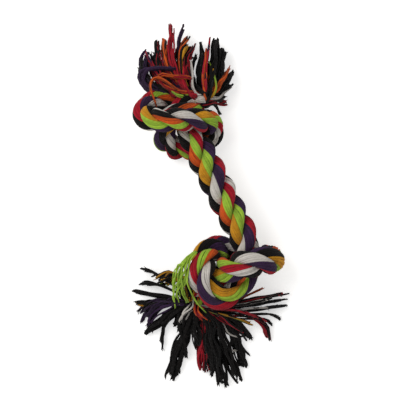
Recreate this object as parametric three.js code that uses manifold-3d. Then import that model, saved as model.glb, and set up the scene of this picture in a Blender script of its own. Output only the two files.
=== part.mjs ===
// Two-knot rope dog toy: one three-strand cotton rope, tied in an overhand knot at each end,
// with the rope's ends frayed out into tassels of coloured yarn.
// Millimetres, +Z up. The toy lies flat on a surface, as it was laid down, long side near Y.
// Its origin is the middle of its outline, on the surface.
import * as THREE from 'three';
import { mergeVertices } from 'three/addons/utils/BufferGeometryUtils.js';
import Module from 'manifold-3d';

// Driving dimensions of the rope.
const ropeDiameter = 18;
const layLength = 40;
const freeLength = 63.6;
const freeBearing = THREE.MathUtils.degToRad(117);
const gap = 0.3;

// The rope is drawn tight in its knots, so it is thinner there.
const knotRopeDiameter = 13.5;
const tighteningLength = 15;

// The first strand lies on top of the rope this far from the lower knot.
const firstCrown = 34.8;

// Tying the knots turned the rope about its own axis: how far, in turns, at distances past the
// lower knot's neck, as shares of the lay length.
const knotTurnShares = [
  [-5.5, 0.27], [-3.55, 0.27], [-1.98, 0.58], [-1.58, 0.46], [-0.95, 0.15], [-0.2, 0],
  [1.6, 0], [2.5, 0.04], [2.9, 0], [3.3, -0.03], [3.7, -0.13], [4.35, -0.13],
  [5.4, 0.14], [5.6, 0.2], [6.7, 0.2],
];

// Where the rope between the knots bends aside, twists and lifts, along its free length.
const bendShare = 0.15;
const twistShare = 0.5;
const liftShare = 0.85;

// The surface that the toy lies on takes this much off the underside of its lowest turns.
const flatDepth = 1.35;
const lowestTurnHeight = 8.1;

// The rope's strands, and the distance between the rings of points that make their faces.
const strandCount = 3;
const ringSpacing = 4;

// The tassels' tufts: bunches of yarn, side by side in two rows at the rope's end.
const lowerTuftDiameter = 5.2;
const upperTuftDiameter = 4.4;
const tuftRootSpacing = 2.2;
const tuftRowRise = 2.1;
const drapeDiameter = 6;

// Route of the rope through each knot, as shares of the rope's diameter: X and Y from the place
// where the rope leaves the knot for its free length, and Z from the surface that the knot was
// tied on. The lower list runs from the rope's end to the free length, the upper list on from it.
const lowerKnotShares = [
  [-1.68, -2.28, 0.46], [-1.55, -1.85, 0.46], [-1.3, -1.5, 0.7], [-1, -1.3, 1],
  [-0.75, -1.15, 1.35], [-0.5, -1.05, 1.75], [-0.2, -0.95, 2.05], [0.25, -0.85, 2.15],
  [0.65, -0.8, 1.95], [0.88, -0.75, 1.55], [0.88, -0.75, 1.05], [0.6, -0.7, 0.62],
  [0.2, -0.62, 0.45], [-0.25, -0.55, 0.55], [-0.6, -0.45, 0.85], [-0.95, -0.4, 1.2],
  [-1.2, -0.55, 1.55], [-1.35, -0.9, 1.8], [-1.4, -1.35, 1.85], [-1.2, -1.75, 1.7],
  [-0.9, -1.95, 1.45], [-0.5, -1.95, 1.25], [-0.15, -1.65, 1.1], [0.05, -1.25, 1.15],
  [0.1, -0.8, 1.3], [0.05, -0.4, 1.45], [0, 0, 1.6],
];
const upperKnotShares = [
  [0, 0, 1.45], [-0.2, 0.25, 1.15], [-0.25, 0.6, 0.8], [-0.4, 1, 0.6],
  [-0.7, 1.3, 0.65], [-1.05, 1.4, 0.9], [-1.4, 1.3, 1.2], [-1.65, 1.1, 1.55],
  [-1.65, 0.82, 1.9], [-1.3, 0.7, 2.2], [-0.8, 0.7, 2.25], [-0.3, 0.72, 2.15],
  [0.1, 0.7, 1.9], [0.4, 0.7, 1.55], [0.55, 0.55, 1.15], [0.55, 0.25, 0.8],
  [0.25, 0, 0.5], [-0.15, -0.2, 0.45], [-0.6, -0.2, 0.6], [-0.9, -0.05, 0.85],
  [-1.05, 0.3, 1.15], [-0.9, 0.65, 1.4], [-0.6, 1, 1.45], [-0.2, 1.25, 1.35],
  [0.2, 1.4, 1.15],
];

// Outline of one strand in the rope's round section, from its root near the middle of the rope to
// its crown: distance from the rope's middle as a share of the rope's diameter, and half width as
// a share of the sixth of a turn that the strand has on each side.
const strandOutlineShares = [
  [0.035, 0], [0.17, 0.9], [0.29, 0.94], [0.39, 0.8], [0.465, 0.45], [0.5, 0],
];

// Thickness of a tuft or bunch along its length, as shares of its diameter, and how many times as
// wide as thick it is there.
const tuftThicknessShares = [0.35, 0.38, 0.52, 0.8, 1, 0.9, 0.5];
const tuftSpreadShares = [1, 1, 1.1, 1.2, 1.5, 1.9, 2.4];
const drapeThicknessShares = [0.5, 1, 1, 0.5];
const drapeSpreadShares = [0.8, 0.8, 0.8, 0.8];

// The tassels' tufts, one for each yarn bundle of each strand, from the right of the rope's end
// to its left and in a high and a low row. A tuft's elbow lies ahead of the rope's end, to its
// left and above it, and its tip lies along X, Y and Z from there, as shares of the rope's diameter.
const lowerTuftShares = {
  high: [
    ['amber', [0.25, -0.65, 0.34], [-1.95, 0.16, 0.1]],
    ['purple', [0.45, -0.5, 0.34], [-1.65, -1.0, 0.1]],
    ['black', [0.6, -0.22, 0.34], [-0.73, -2.42, 0.1]],
    ['red', [0.6, 0.1, 0.34], [0.3, -2.35, 0.1]],
    ['lime', [0.5, 0.42, 0.34], [1.63, -2.55, 0.1]],
    ['red', [0.28, 0.65, 0.34], [2.65, -1.08, 0.1]],
  ],
  low: [
    ['black', [0.28, -0.62, -0.13], [-1.97, -0.4, -0.21]],
    ['black', [0.5, -0.42, -0.13], [-1.0, -1.6, -0.21]],
    ['lime', [0.6, -0.12, -0.13], [-0.22, -1.8, -0.21]],
    ['orange', [0.6, 0.2, -0.13], [1.03, -2.75, -0.21]],
    ['purple', [0.48, 0.48, -0.13], [2.02, -1.75, -0.21]],
    ['white', [0.25, 0.68, -0.13], [3.08, -0.1, -0.21]],
  ],
};
const upperTuftShares = {
  high: [
    ['amber', [0.94, 0.13, 0.2], [1.1, 0.36, -0.56]],
    ['lime', [0.96, 0.76, 0.2], [0.77, 1.75, -0.6]],
    ['black', [0.78, 1.0, 0.2], [0.08, 2.05, -0.6]],
    ['red', [0.56, 1.2, 0.26], [-0.62, 2.15, -0.6]],
    ['orange', [0.28, 1.16, 0.26], [-1.3, 2.3, -0.6]],
    ['purple', [-0.06, 0.6, 0.02], [-2.05, 1.6, -0.66]],
  ],
  low: [
    ['lime', [0.87, -0.18, -0.35], [0.7, -0.4, -0.93]],
    ['black', [0.98, 0.49, -0.35], [1.03, 1.1, -0.93]],
    ['purple', [0.8, 0.85, -0.35], [0.5, 2.2, -0.93]],
    ['white', [0.56, 0.84, -0.32], [-0.2, 1.6, -0.93]],
    ['red', [0.34, 1.2, -0.42], [-0.67, 2.68, -0.93]],
    ['black', [0.03, 0.68, -0.35], [-1.7, 1.95, -0.93]],
  ],
};

// A bunch of lime yarn lies over the outer side of the lower knot, as shares of the rope's
// diameter from the same place as that knot's route.
const drapeShares = [
  [-1.88, -2.2, 1.3], [-1.97, -1.72, 1.65], [-1.92, -1.25, 1.88], [-1.8, -0.78, 2.04], [-1.55, -0.4, 2.04],
];

// Dyed cotton, by colour.
const yarnColours = {
  black: 0x100e0e, orange: 0xc2491b, lime: 0x97bd3c, red: 0x9e1527,
  amber: 0xc08a1e, purple: 0x33203c, white: 0xc8c2bc,
};
const cotton = (colour) => new THREE.MeshStandardMaterial({
  color: yarnColours[colour], roughness: 0.92, metalness: 0,
});
const strandColours = ['white', 'orange', 'lime'];

// A place in millimetres from shares of the rope's diameter.
const place = ([x, y, z], from = new THREE.Vector3()) => (
  new THREE.Vector3(x, y, z).multiplyScalar(ropeDiameter).add(from)
);

// The whole rope's centreline, as points with the distance travelled to each.
function makeCentreline() {
  const reach = new THREE.Vector3(Math.cos(freeBearing), Math.sin(freeBearing), 0).multiplyScalar(freeLength);
  const lower = lowerKnotShares.map((shares) => place(shares));
  const upper = upperKnotShares.map((shares) => place(shares, reach));
  const lowerNeck = lower[lower.length - 1];
  const between = [0.2, 0.4, 0.6, 0.8].map((share) => lowerNeck.clone().lerp(upper[0], share));
  const knots = [...lower, ...between, ...upper];
  const curve = new THREE.CatmullRomCurve3(knots, false, 'centripetal');
  const steps = 24;
  const points = [];
  for (let i = 0; i <= (knots.length - 1) * steps; i += 1) {
    points.push(curve.getPoint(i / ((knots.length - 1) * steps)));
  }
  const distances = [0];
  for (let i = 1; i < points.length; i += 1) {
    distances.push(distances[i - 1] + points[i].distanceTo(points[i - 1]));
  }
  return {
    points,
    distances,
    lowerNeck: distances[(lower.length - 1) * steps],
    upperNeck: distances[(lower.length + between.length) * steps],
    total: distances[distances.length - 1],
  };
}
const centreline = makeCentreline();

// A frame at each point of the centreline: tangent, up and side. The frame is carried along
// without twist, and eased back to level wherever the rope runs level. It starts upside down,
// because the lower knot turns it over once before the rope runs free.
function makeFrames({ points, distances }) {
  const tangents = points.map((point, i) => (
    points[Math.min(i + 1, points.length - 1)].clone().sub(points[Math.max(i - 1, 0)]).normalize()
  ));
  const vertical = new THREE.Vector3(0, 0, 1);
  const easing = 3 / ropeDiameter;
  let side = new THREE.Vector3().crossVectors(vertical, tangents[0]).normalize();
  return tangents.map((tangent, i) => {
    side = side.clone().addScaledVector(tangent, -side.dot(tangent)).normalize();
    const level = new THREE.Vector3().crossVectors(tangent, vertical);
    const flatness = level.lengthSq();
    level.normalize();
    if (level.dot(side) < 0) {
      level.negate();
    }
    const turn = Math.asin(THREE.MathUtils.clamp(new THREE.Vector3().crossVectors(side, level).dot(tangent), -1, 1));
    const travel = i > 0 ? distances[i] - distances[i - 1] : 0;
    side.applyAxisAngle(tangent, turn * Math.min(1, easing * travel * flatness));
    return { tangent, side, up: new THREE.Vector3().crossVectors(side, tangent) };
  });
}
const frames = makeFrames(centreline);

// Point and frame at a distance along the rope.
function stationAt(distance) {
  const { points, distances } = centreline;
  let i = distances.findIndex((value) => value >= distance);
  i = i < 1 ? (distance <= 0 ? 1 : points.length - 1) : i;
  const share = (distance - distances[i - 1]) / (distances[i] - distances[i - 1]);
  const blend = (name) => frames[i - 1][name].clone().lerp(frames[i][name], share).normalize();
  return {
    point: points[i - 1].clone().lerp(points[i], share),
    tangent: blend('tangent'),
    side: blend('side'),
    up: blend('up'),
  };
}

// The rope's diameter at a distance: full between the knots, drawn in towards each.
function diameterAt(distance) {
  const { lowerNeck, upperNeck } = centreline;
  const inside = Math.max(lowerNeck - distance, distance - upperNeck) + tighteningLength / 2;
  return THREE.MathUtils.lerp(
    ropeDiameter, knotRopeDiameter, THREE.MathUtils.smoothstep(inside, 0, tighteningLength),
  );
}

// A closed body from rings of points, with diagonals chosen so that neighbouring strands match.
function skin(rings) {
  const count = rings[0].length;
  const positions = rings.flat().flatMap((point) => point.toArray());
  const faces = [];
  for (let i = 0; i + 1 < rings.length; i += 1) {
    for (let j = 0; j < count; j += 1) {
      const a = i * count + j;
      const b = i * count + ((j + 1) % count);
      const c = a + count;
      const d = b + count;
      if (j < count / 2) {
        faces.push(a, b, d, a, d, c);
      } else {
        faces.push(a, b, c, b, d, c);
      }
    }
  }
  const last = (rings.length - 1) * count;
  for (let j = 1; j + 1 < count; j += 1) {
    faces.push(0, j + 1, j, last, last + j, last + j + 1);
  }
  const geometry = new THREE.BufferGeometry();
  geometry.setAttribute('position', new THREE.Float32BufferAttribute(positions, 3));
  geometry.setIndex(faces);
  return geometry;
}

// Turns that tying added at a distance along the rope, read off between the rows of the list.
function knotTurnsAt(distance) {
  const past = (distance - centreline.lowerNeck) / layLength;
  const found = knotTurnShares.findIndex(([share]) => share >= past);
  if (found < 1) {
    return knotTurnShares[found < 0 ? knotTurnShares.length - 1 : 0][1];
  }
  const [[from, fromTurns], [to, toTurns]] = knotTurnShares.slice(found - 1, found + 1);
  return THREE.MathUtils.lerp(fromTurns, toTurns, (past - from) / (to - from));
}

// One ring of a strand's outline, turned with the rope's lay.
function strandRing(distance, strand) {
  const { point, side, up } = stationAt(distance);
  const diameter = diameterAt(distance);
  const layTurns = (distance - centreline.lowerNeck - firstCrown) / layLength;
  const turns = layTurns + knotTurnsAt(distance) + strand / strandCount;
  const halfWidth = Math.PI / strandCount;
  const oneSide = strandOutlineShares.map(([reach, width]) => [reach, -width * halfWidth]);
  const otherSide = oneSide.slice(1, -1).reverse().map(([reach, angle]) => [reach, -angle]);
  return [...oneSide, ...otherSide].map(([reach, angle]) => {
    const around = turns * 2 * Math.PI + angle;
    return point.clone()
      .addScaledVector(up, Math.cos(around) * reach * diameter)
      .addScaledVector(side, Math.sin(around) * reach * diameter);
  });
}

function strandGeometry(start, end, strand) {
  const steps = Math.max(2, Math.round((end - start) / ringSpacing));
  const rings = [];
  for (let i = 0; i <= steps; i += 1) {
    rings.push(strandRing(THREE.MathUtils.lerp(start, end, i / steps), strand));
  }
  return skin(rings);
}

// Everything below the surface that the toy lies on is pressed flat, so it is cut off.
const wasm = await Module();
wasm.setup();
const surface = lowestTurnHeight - knotRopeDiameter / 2 + flatDepth;

function toSolid(geometry) {
  const bare = geometry.clone();
  bare.deleteAttribute('normal');
  bare.deleteAttribute('uv');
  const merged = mergeVertices(bare);
  return new wasm.Manifold(new wasm.Mesh({
    numProp: 3,
    vertProperties: new Float32Array(merged.attributes.position.array),
    triVerts: new Uint32Array(merged.index.array),
  }));
}

function pressFlat(geometry) {
  geometry.computeBoundingBox();
  const box = geometry.boundingBox;
  if (box.min.z >= surface) {
    return geometry;
  }
  const size = box.getSize(new THREE.Vector3()).addScalar(ropeDiameter);
  const below = new THREE.BoxGeometry(size.x, size.y, size.z);
  const centre = box.getCenter(new THREE.Vector3());
  below.translate(centre.x, centre.y, surface - size.z / 2);
  const mesh = toSolid(geometry).subtract(toSolid(below)).getMesh();
  const cut = new THREE.BufferGeometry();
  cut.setAttribute('position', new THREE.Float32BufferAttribute(mesh.vertProperties, 3));
  cut.setIndex(Array.from(mesh.triVerts));
  return cut;
}

// Value of a list at a share of its length.
function listAt(values, along) {
  const spot = along * (values.length - 1);
  const index = Math.min(Math.floor(spot), values.length - 2);
  return THREE.MathUtils.lerp(values[index], values[index + 1], spot - index);
}

// A bunch of yarn along a curve, flatter and wider where it lies loose.
function bunchGeometry(curve, diameter, thicknessShares, spreadShares, startDirection) {
  const sides = 6;
  const steps = 7;
  const rings = [];
  for (let i = 0; i <= steps; i += 1) {
    const along = i / steps;
    const tangent = i === 0 ? startDirection : curve.getTangent(along);
    const side = new THREE.Vector3(0, 0, 1).cross(tangent).normalize();
    const up = new THREE.Vector3().crossVectors(tangent, side);
    const halfHeight = (listAt(thicknessShares, along) * diameter) / 2;
    const halfWidth = halfHeight * listAt(spreadShares, along);
    const centre = curve.getPoint(along);
    rings.push(Array.from({ length: sides }, (_, j) => (
      centre.clone()
        .addScaledVector(side, Math.cos((2 * Math.PI * j) / sides) * halfWidth)
        .addScaledVector(up, Math.sin((2 * Math.PI * j) / sides) * halfHeight)
    )));
  }
  return skin(rings);
}

function addMesh(group, name, colour, geometry) {
  geometry.computeVertexNormals();
  const mesh = new THREE.Mesh(geometry, cotton(colour));
  mesh.name = name;
  group.add(mesh);
}

// Rope: three strands in four lengths, which meet where the rope bends, twists and lifts.
function addStrands(group) {
  const { lowerNeck, upperNeck, total } = centreline;
  const at = (share) => THREE.MathUtils.lerp(lowerNeck, upperNeck, share);
  const lengths = [
    ['lower_knot', 0, at(bendShare) - gap / 2],
    ['lower_rope', at(bendShare) + gap / 2, at(twistShare) - gap / 2],
    ['upper_rope', at(twistShare) + gap / 2, at(liftShare) - gap / 2],
    ['upper_knot', at(liftShare) + gap / 2, total],
  ];
  for (const [name, start, end] of lengths) {
    for (let strand = 0; strand < strandCount; strand += 1) {
      const geometry = pressFlat(strandGeometry(start, end, strand));
      addMesh(group, `${name}_strand_${strand + 1}`, strandColours[strand], geometry);
    }
  }
}

// Tassel: tufts that leave the rope's end side by side and fan out over the surface.
function addTassel(group, name, distance, outward, tuftDiameter, tufts) {
  const { point, tangent } = stationAt(distance);
  const vertical = new THREE.Vector3(0, 0, 1);
  const forward = tangent.clone().multiplyScalar(outward);
  const left = vertical.clone().cross(forward).normalize();
  const above = new THREE.Vector3().crossVectors(forward, left);
  const face = point.clone().addScaledVector(forward, gap);
  const counts = {};
  for (const [row, rise] of [['high', tuftRowRise], ['low', -tuftRowRise]]) {
    tufts[row].forEach(([colour, elbowShares, tipShares], i) => {
      const fromMiddle = i - (tufts[row].length - 1) / 2;
      const root = face.clone()
        .addScaledVector(left, fromMiddle * tuftRootSpacing)
        .addScaledVector(above, rise);
      const elbow = face.clone()
        .addScaledVector(forward, elbowShares[0] * ropeDiameter)
        .addScaledVector(left, elbowShares[1] * ropeDiameter)
        .addScaledVector(vertical, elbowShares[2] * ropeDiameter);
      const curve = new THREE.QuadraticBezierCurve3(root, elbow, place(tipShares, face));
      counts[colour] = (counts[colour] || 0) + 1;
      const geometry = bunchGeometry(
        curve, tuftDiameter, tuftThicknessShares, tuftSpreadShares, forward,
      );
      addMesh(group, `${name}_${colour}_${counts[colour]}`, colour, geometry);
    });
  }
}

function addDrape(group) {
  const curve = new THREE.CatmullRomCurve3(drapeShares.map((shares) => place(shares)), false, 'centripetal');
  const geometry = bunchGeometry(
    curve, drapeDiameter, drapeThicknessShares, drapeSpreadShares, curve.getTangent(0),
  );
  addMesh(group, 'lower_tassel_lime_drape', 'lime', geometry);
}

const toy = new THREE.Group();
addStrands(toy);
addTassel(toy, 'lower_tassel', 0, -1, lowerTuftDiameter, lowerTuftShares);
addTassel(toy, 'upper_tassel', centreline.total, 1, upperTuftDiameter, upperTuftShares);
addDrape(toy);

// The origin goes to the middle of the outline, on the surface.
const outline = new THREE.Box3().setFromObject(toy, true);
const middle = outline.getCenter(new THREE.Vector3());
toy.position.set(-middle.x, -middle.y, -outline.min.z);
toy.updateMatrixWorld(true);

export default toy;
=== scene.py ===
# %% [markdown]
# # A rope dog toy
# The toy is one laid cotton rope with an overhand knot at each end. Its ends are unlaid into
# tassels of loose yarn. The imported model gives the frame, and this script dresses it: it lays
# the rope's outer yarns along the same route, ties the same knots and frays the same ends.
# Blender works in metres here. Lengths below are in millimetres, and MM turns them to metres.

# %% Load the frame
import math

import bpy
import numpy as np
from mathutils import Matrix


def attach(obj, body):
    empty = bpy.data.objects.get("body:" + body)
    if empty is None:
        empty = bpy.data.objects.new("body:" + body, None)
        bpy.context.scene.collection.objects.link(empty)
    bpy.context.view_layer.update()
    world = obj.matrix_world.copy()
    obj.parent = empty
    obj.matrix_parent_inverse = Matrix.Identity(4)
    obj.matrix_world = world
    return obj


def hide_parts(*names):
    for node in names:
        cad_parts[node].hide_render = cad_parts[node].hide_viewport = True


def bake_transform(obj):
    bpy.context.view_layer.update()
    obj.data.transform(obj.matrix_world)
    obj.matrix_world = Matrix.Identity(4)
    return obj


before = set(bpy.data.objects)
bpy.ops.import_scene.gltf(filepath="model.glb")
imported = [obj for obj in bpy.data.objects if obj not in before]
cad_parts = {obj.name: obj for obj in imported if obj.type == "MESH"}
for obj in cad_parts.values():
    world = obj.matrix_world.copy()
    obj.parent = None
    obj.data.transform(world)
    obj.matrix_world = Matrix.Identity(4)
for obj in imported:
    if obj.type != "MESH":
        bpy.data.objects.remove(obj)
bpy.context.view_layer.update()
MM = 0.001

# %% [markdown]
# ## Camera
# The photograph looks straight down on the toy, and it is 240 mm wide at the toy. A long lens
# far away keeps the knots, which stand tall, from leaning outwards.

# %% Camera
VIEW_WIDTH = 240
VIEW_CENTRE = (-5.49, 2.54)
VIEW_PLANE_HEIGHT = 15
LENS = 200


def add_object(name, data):
    """A new object in the scene."""
    new_object = bpy.data.objects.new(name, data)
    bpy.context.scene.collection.objects.link(new_object)
    return new_object


camera = add_object("camera", bpy.data.cameras.new("camera"))
camera.data.lens = LENS
camera_distance = VIEW_WIDTH * LENS / camera.data.sensor_width
camera.location = (
    VIEW_CENTRE[0] * MM, VIEW_CENTRE[1] * MM, (VIEW_PLANE_HEIGHT + camera_distance) * MM
)
bpy.context.scene.camera = camera
print("camera distance in mm:", round(camera_distance))

# %% [markdown]
# ## Route of the rope
# The route is the one that the solids follow: a list of points through each knot,
# as shares of the rope's diameter, and a straight length between them. A centripetal
# Catmull-Rom curve joins the points, because it doesn't overshoot where they lie close. The
# imported model is centred and stands on zero height, so the route is shifted by as much.

# %% Route points
ROPE_DIAMETER = 18.0
FREE_LENGTH = 63.6
FREE_BEARING = math.radians(117)
FREE_SHARES = (0.2, 0.4, 0.6, 0.8)
SURFACE_HEIGHT = 2.7
CENTRING_SHIFT = np.array([20.489, -19.479, -SURFACE_HEIGHT])

LOWER_KNOT_SHARES = [
    (-1.68, -2.28, 0.46), (-1.55, -1.85, 0.46), (-1.3, -1.5, 0.7), (-1, -1.3, 1),
    (-0.75, -1.15, 1.35), (-0.5, -1.05, 1.75), (-0.2, -0.95, 2.05), (0.25, -0.85, 2.15),
    (0.65, -0.8, 1.95), (0.88, -0.75, 1.55), (0.88, -0.75, 1.05), (0.6, -0.7, 0.62),
    (0.2, -0.62, 0.45), (-0.25, -0.55, 0.55), (-0.6, -0.45, 0.85), (-0.95, -0.4, 1.2),
    (-1.2, -0.55, 1.55), (-1.35, -0.9, 1.8), (-1.4, -1.35, 1.85), (-1.2, -1.75, 1.7),
    (-0.9, -1.95, 1.45), (-0.5, -1.95, 1.25), (-0.15, -1.65, 1.1), (0.05, -1.25, 1.15),
    (0.1, -0.8, 1.3), (0.05, -0.4, 1.45), (0, 0, 1.6),
]
UPPER_KNOT_SHARES = [
    (0, 0, 1.45), (-0.2, 0.25, 1.15), (-0.25, 0.6, 0.8), (-0.4, 1, 0.6),
    (-0.7, 1.3, 0.65), (-1.05, 1.4, 0.9), (-1.4, 1.3, 1.2), (-1.65, 1.1, 1.55),
    (-1.65, 0.82, 1.9), (-1.3, 0.7, 2.2), (-0.8, 0.7, 2.25), (-0.3, 0.72, 2.15),
    (0.1, 0.7, 1.9), (0.4, 0.7, 1.55), (0.55, 0.55, 1.15), (0.55, 0.25, 0.8),
    (0.25, 0, 0.5), (-0.15, -0.2, 0.45), (-0.6, -0.2, 0.6), (-0.9, -0.05, 0.85),
    (-1.05, 0.3, 1.15), (-0.9, 0.65, 1.4), (-0.6, 1, 1.45), (-0.2, 1.25, 1.35),
    (0.2, 1.4, 1.15),
]

free_vector = np.array([math.cos(FREE_BEARING), math.sin(FREE_BEARING), 0]) * FREE_LENGTH
lower_knot_points = np.array(LOWER_KNOT_SHARES) * ROPE_DIAMETER
upper_knot_points = np.array(UPPER_KNOT_SHARES) * ROPE_DIAMETER + free_vector
free_points = [
    lower_knot_points[-1] + (upper_knot_points[0] - lower_knot_points[-1]) * share
    for share in FREE_SHARES
]
route_points = np.vstack([lower_knot_points, free_points, upper_knot_points]) + CENTRING_SHIFT
lower_neck_row = len(lower_knot_points) - 1
upper_neck_row = len(lower_knot_points) + len(free_points)
print("route points:", len(route_points))

# %% A curve through points
# TINY keeps a length that something is divided by from being zero.
TINY = 1e-6


def curve_through(points, steps):
    """Centripetal Catmull-Rom curve with that many steps between neighbouring points."""
    points = np.asarray(points, float)
    ends = np.vstack([2 * points[0] - points[1], points, 2 * points[-1] - points[-2]])
    shares = np.arange(steps)[:, None] / steps
    pieces = []
    for a, b, c, d in zip(ends, ends[1:], ends[2:], ends[3:]):
        before, here, after = (
            max(np.linalg.norm(q - p) ** 0.5, TINY) for p, q in ((a, b), (b, c), (c, d))
        )
        start = ((b - a) / before - (c - a) / (before + here) + (c - b) / here) * here
        end = ((c - b) / here - (d - b) / (here + after) + (d - c) / after) * here
        pieces.append(
            b + start * shares
            + (3 * (c - b) - 2 * start - end) * shares**2
            + (2 * (b - c) + start + end) * shares**3
        )
    return np.vstack([*pieces, points[-1]])


def distances_along(points):
    """Distance travelled to each point."""
    return np.concatenate([[0], np.cumsum(np.linalg.norm(np.diff(points, axis=0), axis=1))])


def values_at(where, distances, values):
    """Columns of values, read off at other distances."""
    return np.stack([np.interp(where, distances, column) for column in values.T], axis=1)


ROUTE_STEPS = 24
route = curve_through(route_points, ROUTE_STEPS)
route_distances = distances_along(route)
lower_neck = route_distances[lower_neck_row * ROUTE_STEPS]
upper_neck = route_distances[upper_neck_row * ROUTE_STEPS]
print("rope length in mm:", round(route_distances[-1], 1))

# %% [markdown]
# A frame goes with each point of the route: its tangent, its up and its side. The frame is
# carried along without twist, so that only the rope's own lay turns the strands. Wherever
# the rope runs level it is eased back to level, which keeps the strands' places predictable.
# It starts upside down, because the lower knot turns it over once before the rope runs free.

# %% Frames along the route
VERTICAL = np.array([0.0, 0.0, 1.0])
# Share of its roll that the frame gives up in each millimetre of level rope.
EASING = 3 / ROPE_DIAMETER


def turned(vector, axis, angle):
    """A vector turned about an axis."""
    return (
        vector * math.cos(angle)
        + np.cross(axis, vector) * math.sin(angle)
        + axis * (axis @ vector) * (1 - math.cos(angle))
    )


def frames_along(points, distances):
    """Side and up at each point."""
    ahead, behind = np.roll(points, -1, axis=0), np.roll(points, 1, axis=0)
    ahead[-1], behind[0] = points[-1], points[0]
    tangents = ahead - behind
    tangents /= np.linalg.norm(tangents, axis=1)[:, None]
    side = np.cross(VERTICAL, tangents[0])
    sides = []
    for i, tangent in enumerate(tangents):
        side = side - tangent * (side @ tangent)
        side /= np.linalg.norm(side)
        level = np.cross(tangent, VERTICAL)
        flatness = level @ level
        level /= math.sqrt(flatness)
        if level @ side < 0:
            level = -level
        turn = math.asin(max(-1, min(1, np.cross(side, level) @ tangent)))
        travel = distances[i] - distances[i - 1] if i else 0
        side = turned(side, tangent, turn * min(1, EASING * travel * flatness))
        sides.append(side)
    sides = np.array(sides)
    return sides, np.cross(sides, tangents)


route_sides, route_ups = frames_along(route, route_distances)
RING_SPACING = 1.1
station_distances = np.linspace(
    0, route_distances[-1], round(route_distances[-1] / RING_SPACING) + 1
)
centres = values_at(station_distances, route_distances, route)
sides = values_at(station_distances, route_distances, route_sides)
ups = values_at(station_distances, route_distances, route_ups)
tangents = np.gradient(centres, axis=0)
tangents /= np.linalg.norm(tangents, axis=1)[:, None]
print("stations:", len(centres))

# %% [markdown]
# ## Dyed cotton
# Cotton yarn is spun from short fibres, so it is matt with a faint fuzz that catches the light
# at the edges. It is dyed before it is spun into rope, so each yarn has one colour, slightly
# uneven along its length. Colours are written as sRGB hex values and turned to linear once.

# %% Colour and node helpers
def linear(hex_colour):
    """A hex sRGB colour as linear red, green, blue and alpha."""
    channels = [int(hex_colour[i:i + 2], 16) / 255 for i in (1, 3, 5)]
    return [c / 12.92 if c <= 0.04045 else ((c + 0.055) / 1.055) ** 2.4 for c in channels] + [1]


def add_node(tree, kind, inputs=(), **settings):
    """Adds a node with its settings, and with values or links for its inputs."""
    node = tree.nodes.new(kind)
    for name, value in settings.items():
        setattr(node, name, value)
    for name, value in dict(inputs).items():
        if isinstance(value, bpy.types.NodeSocket):
            tree.links.new(value, node.inputs[name])
        else:
            node.inputs[name].default_value = value
    return node


def reckon(tree, operation, *values):
    """Output of a math node on values or links."""
    node = add_node(tree, "ShaderNodeMath", dict(enumerate(values)), operation=operation)
    return node.outputs["Value"]


def empty_material(name):
    """A material and its node tree, with no nodes yet."""
    material = bpy.data.materials.new(name)
    material.use_nodes = True
    material.node_tree.nodes.clear()
    return material, material.node_tree


# %% [markdown]
# One recipe serves every dye. Each yarn is two plies twisted together: a fine slanting ridge
# runs round it, once every 2.4 mm. The map called yarn holds how far round the yarn a point
# is, as a share of a turn added to the yarn's number, and how far along it, in millimetres, so
# the ridge follows every bend. Noise stretched along the yarn stands for the fibres. Real ones
# are far too fine to show, so only nine go round a yarn. The same noise, with patches of a few
# millimetres, makes the dye uneven, and the yarn's number draws how dark that yarn is. Loose
# yarns are numbered above 1000 and vary more, down to much darker: that is painted shade, for
# the shade that falls in among the yarns of a tassel.

# %% Dyed cotton yarn
PLIES = 2
PLY_TWIST_LENGTH = 2.4
PLY_RELIEF = 0.12
FIBRES_ROUND = 9
FIBRE_LENGTH = 3.0
FIBRE_RELIEF_SHARE = 0.8
PATCH_SIZE = 6.25
MOTTLE_RANGE = (0.7, 1.3)
LIGHTEST_YARN = 1.08
DARKEST_YARN = 0.72
# Loose yarns may be drawn darker than laid ones: painted shade, for the shade in among a tassel's
# yarns.
DARKEST_LOOSE_YARN_WITH_PAINTED_SHADE = 0.3
LAST_LAID_NUMBER = 1000


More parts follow.
